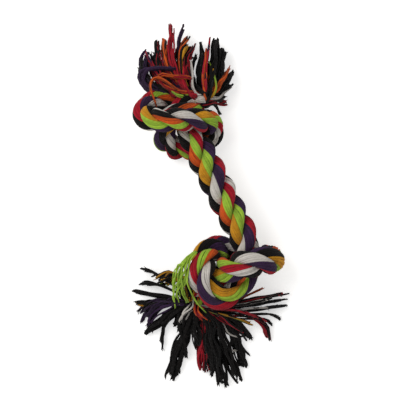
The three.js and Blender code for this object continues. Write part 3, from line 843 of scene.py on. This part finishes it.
# %% [markdown]
# A lock of the tassels starts in the rope's end, and its middle line is the same kind of curve
# as the rope's route. The lock is flatter than it is wide, and it widens past its root.

# %% Middle line and width of a lock
POINTS_PER_YARN = 18
LOCK_CURVE_STEPS = 12
ROOT_DEPTH, ROOT_RADIUS, MOUTH_RADIUS = 6, 2, 4
ROOT_WIDTH_SHARE, BELLY_WIDTH_SHARE, TIP_WIDTH_SHARE, BELLY_POWER = 0.3, 0.6, 0.8, 0.8
LOCK_FLATNESS = 0.6

ALONG = np.linspace(0, 1, POINTS_PER_YARN)
lock_widths = (
    ROOT_WIDTH_SHARE + BELLY_WIDTH_SHARE * np.sin(math.pi * ALONG**BELLY_POWER)
    + TIP_WIDTH_SHARE * ALONG
)[:, None]


def points_evenly(path, shares):
    """Points of a path at shares of its length."""
    travelled = distances_along(path)
    return values_at(shares * travelled[-1], travelled, path)


def lock_middle(places, root, outward):
    """Middle line of a lock, which turns out of the rope's end where a root is given."""
    places = np.array(places, float)
    if root is not None:
        off_axis = places[0] - root
        off_axis -= outward * (off_axis @ outward)
        off_axis /= max(np.linalg.norm(off_axis), TINY)
        start = root - outward * ROOT_DEPTH + off_axis * ROOT_RADIUS
        places = np.vstack([start, root + off_axis * MOUTH_RADIUS, places])
    return points_evenly(curve_through(places, LOCK_CURVE_STEPS), ALONG)


def aside(rng, half_width, sides):
    """A random offset across a lock or a wisp."""
    angle, away = rng.uniform(0, 2 * math.pi), math.sqrt(rng.uniform(0, 1)) * half_width
    return away * (math.cos(angle) * sides[0] + LOCK_FLATNESS * math.sin(angle) * sides[1])


print("widest part of a lock, as a share of its spread:", round(lock_widths.max(), 2))

# %% [markdown]
# Handled cotton clumps, so a lock parts into wisps of about five yarns. The yarns of a wisp run
# close together, and closest at their tips, but never quite alike: wisps and yarns swing in
# gentle waves and differ in length. One of each two yarns has frayed: a ply stands off its tip.

# %% Loose yarns
YARNS_PER_WISP = 5
WISP_HALF_WIDTH = 1.25
WISP_ROOT_SHARE, WISP_NARROWING_SHARE = 1.5, 0.8
WISP_LENGTH_SHARES, YARN_LENGTH_SHARES = (0.88, 1.0), (0.96, 1.0)
WAVE_LENGTHS = (12, 28)
WISP_WAVES, YARN_WAVES = (0.3, 1.5), (0.1, 0.55)
WAVE_GROWTH = 3
LOOSE_RADII, SLIPPED_RADII = (0.42, 0.6), (0.4, 0.5)
TAPER_SHARES = ((0, 0.93, 1), (1, 1, 0.8))
HEADING_POINTS = 4
FRAY_LENGTH, FRAY_LENGTH_SHARES = 2.4, (0.5, 1.0)
FRAY_START = 1.5
FRAY_STRAYS = (0.22, 0.3)
FRAY_CURL_SHARE = 0.4
FRAY_THICKNESS_SHARE, FRAY_TAPER_SHARE = 0.6, 0.6

wisp_widths = (WISP_ROOT_SHARE - WISP_NARROWING_SHARE * ALONG)[:, None]


def wavy(rng, path, sides, length, heights):
    """A path with a gentle wave to each side, which grows from nothing at its root."""
    swings = []
    for side in sides:
        phase, height = rng.uniform(0, 2 * math.pi), rng.uniform(*heights)
        swing = np.sin(ALONG * length / rng.uniform(*WAVE_LENGTHS) * 2 * math.pi + phase)
        swings.append((swing * height * np.minimum(1, WAVE_GROWTH * ALONG))[:, None] * side)
    return path + sum(swings)


def frayed_ply(rng, path, radius):
    """Path and radii of a ply that stands off a yarn's tip and curls away."""
    tip, heading = path[-1], path[-1] - path[-HEADING_POINTS]
    heading /= np.linalg.norm(heading)
    astray = heading + rng.normal(0, FRAY_STRAYS[0], 3)
    later = astray + rng.normal(0, FRAY_STRAYS[1], 3)
    reach = FRAY_LENGTH * rng.uniform(*FRAY_LENGTH_SHARES)
    ply = (
        tip - heading * FRAY_START + np.outer(ALONG, astray) * reach * (1 - FRAY_CURL_SHARE)
        + np.outer(ALONG**2, later) * reach * FRAY_CURL_SHARE
    )
    thickness = np.interp(
        ALONG, [0, 1], [FRAY_THICKNESS_SHARE, FRAY_THICKNESS_SHARE * FRAY_TAPER_SHARE]
    )
    ply[:, 2] = np.maximum(ply[:, 2], radius * FRAY_THICKNESS_SHARE)
    return ply, radius * thickness


def loose_yarns(rng, locks, thickness, per_wisp, root=None, outward=None):
    """Paths, radii and dyes of the yarns of the locks, with frayed tips."""
    paths, radii, dyes = [], [], []
    for mix, count, spread, places in locks:
        mix = mix.split()
        middle = lock_middle(places, root, outward)
        sides = [side[0, 0] for side in tube_sections(middle[None])]
        length = distances_along(middle)[-1]
        wisps = []
        for _ in range(max(1, round(count / per_wisp))):
            wisp = middle + lock_widths * aside(rng, spread, sides)
            wisp = wavy(rng, wisp, sides, length, WISP_WAVES)
            wisps.append(points_evenly(wisp, ALONG * rng.uniform(*WISP_LENGTH_SHARES)))
        for number in range(count):
            if per_wisp > 1:
                path = wisps[rng.integers(len(wisps))]
                path = path + wisp_widths * aside(rng, WISP_HALF_WIDTH, sides)
                path = wavy(rng, path, sides, length, YARN_WAVES)
                path = points_evenly(path, ALONG * rng.uniform(*YARN_LENGTH_SHARES))
            else:
                path = wisps[number]
            radius = rng.uniform(*thickness)
            path[:, 2] = np.maximum(path[:, 2], radius)
            tubes = [(path, radius * np.interp(ALONG, *TAPER_SHARES))]
            if number % 2 == 0:
                tubes.append(frayed_ply(rng, path, radius))
            for tube_path, tube_radii in tubes:
                paths.append(tube_path)
                radii.append(tube_radii)
                dyes.append(mix[number % len(mix)])
    return np.array(paths), np.array(radii), np.array(dyes)


# %% [markdown]
# Each dye of a tassel is one piece. The imported tassels hold one or more solid tufts of each
# dye, and the loose yarns stand in for the tufts of their own dye. A row says where a tassel's
# root is, which way its end of the rope points, and two places, measured from the root, where a
# bend would start and end.

# %% Hang the tassels
TUFTS = {
    "amber": ("amber_1",), "purple": ("purple_1", "purple_2"),
    "black": ("black_1", "black_2", "black_3"), "red": ("red_1", "red_2"),
    "lime": ("lime_1", "lime_2"), "orange": ("orange_1",), "white": ("white_1",),
}
TASSELS = {
    "lower": (LOWER_LOCKS, centres[0], -tangents[0], (0, 0, 0), (0, -10, 0)),
    "upper": (UPPER_LOCKS, centres[-1], tangents[-1], (0, -2, 0), (0, 12, 0)),
}
LOOSE_YARN_SIDES = 6
tassel_pieces = {}
for end, (locks, root, outward, bend_from, bend_to) in TASSELS.items():
    paths, radii, dyes = loose_yarns(random, locks, LOOSE_RADII, YARNS_PER_WISP, root, outward)
    for dye, tufts in TUFTS.items():
        own = dyes == dye
        piece = make_yarns(
            f"{end}_tassel_{dye}_yarns", paths[own], radii[own], dyes[own],
            round_count=LOOSE_YARN_SIDES, first_number=LAST_LAID_NUMBER + 1,
        )
        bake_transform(piece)
        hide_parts(*(f"{end}_tassel_{tuft}" for tuft in tufts))
        tassel_pieces[end, dye] = piece
print("tassel pieces:", len(tassel_pieces))

# %% [markdown]
# The slipped bundle lies over the lower knot and moves with it, not with the tassel. Its yarns
# lie on top, without the painted shade of a tassel, so they are numbered and toned as laid ones.

# %% Hang the slipped bundle
paths, radii, dyes = loose_yarns(random, DRAPE_LOCKS, SLIPPED_RADII, per_wisp=1)
drape = make_yarns("lower_knot_slipped_lime_yarns", paths, radii, dyes)
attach(drape, "lower_knot")
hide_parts("lower_tassel_lime_drape")
print("slipped yarns and frayed plies:", len(paths))

# %% [markdown]
# ## Floor and light
# The photograph has a plain white ground with a faint shadow. A pale floor takes the shadow,
# and it glows a little for the camera alone, so that it reads as white without more light on
# the toy.

# %% Floor
FLOOR_HALF_WIDTH = 3000
FLOOR_GLOW = 0.5


def make_pale_floor():
    """Matt white paper, lifted to white for the camera alone."""
    material, tree = empty_material("white paper ground")
    paper = add_node(tree, "ShaderNodeBsdfDiffuse", {"Color": linear("#F4F3F1")})
    seen = add_node(tree, "ShaderNodeLightPath").outputs["Is Camera Ray"]
    glow = add_node(
        tree, "ShaderNodeEmission", {"Color": linear("#FFFFFF"), "Strength": FLOOR_GLOW}
    )
    both = add_node(
        tree, "ShaderNodeAddShader", {0: paper.outputs["BSDF"], 1: glow.outputs["Emission"]}
    )
    chosen = add_node(
        tree, "ShaderNodeMixShader",
        {0: seen, 1: paper.outputs["BSDF"], 2: both.outputs["Shader"]},
    )
    add_node(tree, "ShaderNodeOutputMaterial", {"Surface": chosen.outputs["Shader"]})
    return material


half = FLOOR_HALF_WIDTH * MM
floor_mesh = bpy.data.meshes.new("floor")
floor_mesh.from_pydata(
    [(-half, -half, 0), (half, -half, 0), (half, half, 0), (-half, half, 0)],
    [], [(0, 1, 2, 3)],
)
floor_mesh.materials.append(make_pale_floor())
floor = add_object("floor", floor_mesh)
print("floor width in mm:", 2 * FLOOR_HALF_WIDTH)

# %% [markdown]
# White light from all sides lights the toy evenly. A large soft lamp stands high at the upper
# left and draws the faint shadow at the toy's right.

# %% World and lamp
SKY_STRENGTH = 0.56
LAMP_DIAMETER = 700
LAMP_WATTS = 5
LAMP_PLACE = (-550, 350, 950)

world = bpy.data.worlds.new("studio")
bpy.context.scene.world = world
world.use_nodes = True
world.node_tree.nodes["Background"].inputs["Color"].default_value = linear("#FFFFFF")
world.node_tree.nodes["Background"].inputs["Strength"].default_value = SKY_STRENGTH

lamp = add_object("softbox", bpy.data.lights.new("softbox", "AREA"))
lamp.data.shape = "DISK"
lamp.data.size = LAMP_DIAMETER * MM
lamp.data.energy = LAMP_WATTS
lamp.location = [place * MM for place in LAMP_PLACE]
lamp.rotation_euler = (-lamp.location).to_track_quat("-Z", "Y").to_euler()
bpy.context.scene.view_settings.view_transform = "Standard"
print("lamp distance in mm:", round(lamp.location.length / MM))

# %% [markdown]
# ## Pieces for two cords
# The rope is soft, and two cords would say how it runs. The lower one would go from the lower
# tassel to the first cut, and the upper one from the second cut to the upper tassel. In each
# the white strand would stand for the whole rope. The script only gathers, in two lists, the
# pieces that would go with each: the other strands, the tassel's yarns and the slipped bundle.
# The middle length goes with the lower cord.


lower_with = [strand_pieces["lower_knot", strand] for strand in ("orange", "lime")]
lower_with += [strand_pieces["free_rope", strand] for strand in STRAND_BUNDLES]
lower_with += [tassel_pieces["lower", dye] for dye in TUFTS] + [drape]
upper_with = [strand_pieces["upper_knot", strand] for strand in ("orange", "lime")]
upper_with += [tassel_pieces["upper", dye] for dye in TUFTS]
